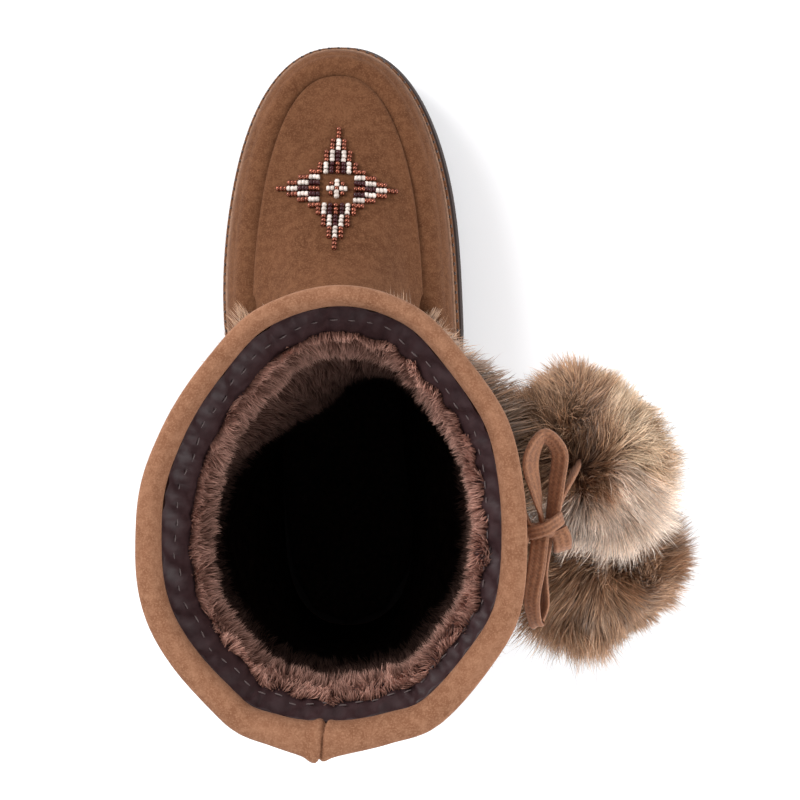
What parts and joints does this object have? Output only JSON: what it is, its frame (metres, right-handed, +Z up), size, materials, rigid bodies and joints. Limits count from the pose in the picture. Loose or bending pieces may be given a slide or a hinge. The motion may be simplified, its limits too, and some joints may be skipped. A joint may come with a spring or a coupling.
{
  "type": "mukluk boot",
  "caption": "Right mukluk boot with a moccasin vamp, rubber sole, fur-wrapped shaft, rolled suede cuff and a tied lace with two fur pompoms.",
  "frame": {"origin": "on the floor, in the middle of the heel tread", "axes": "+Z up, +Y to the toe, +X to the outer side of the foot"},
  "size_m": [0.1935, 0.2728, 0.2853],
  "materials": {
    "suede": "napped suede, mid brown",
    "cuff_suede": "napped suede, light tan",
    "rubber": "matt moulded rubber, dark brown",
    "board": "plain board under pile",
    "satin": "satin tape, plum brown",
    "fur": "long rabbit fur, brown and beige",
    "lace": "flat woven lace, tan"
  },
  "bodies": {
    "root": {"outsole": "rubber", "insole": "board", "upper": "suede", "rand": "suede", "vamp_plug": "suede", "fur_wrap": "fur", "cuff": "cuff_suede", "collar_facing": "satin", "lace_band": "lace", "lace_lead_front": "lace", "lace_lead_back": "lace", "bow_knot": "lace", "bow_loop_front": "lace", "bow_loop_back": "lace", "lace_end_upper": "lace", "lace_end_lower": "lace", "pompom_upper": "fur", "pompom_lower": "fur"}
  },
  "joints": []
}
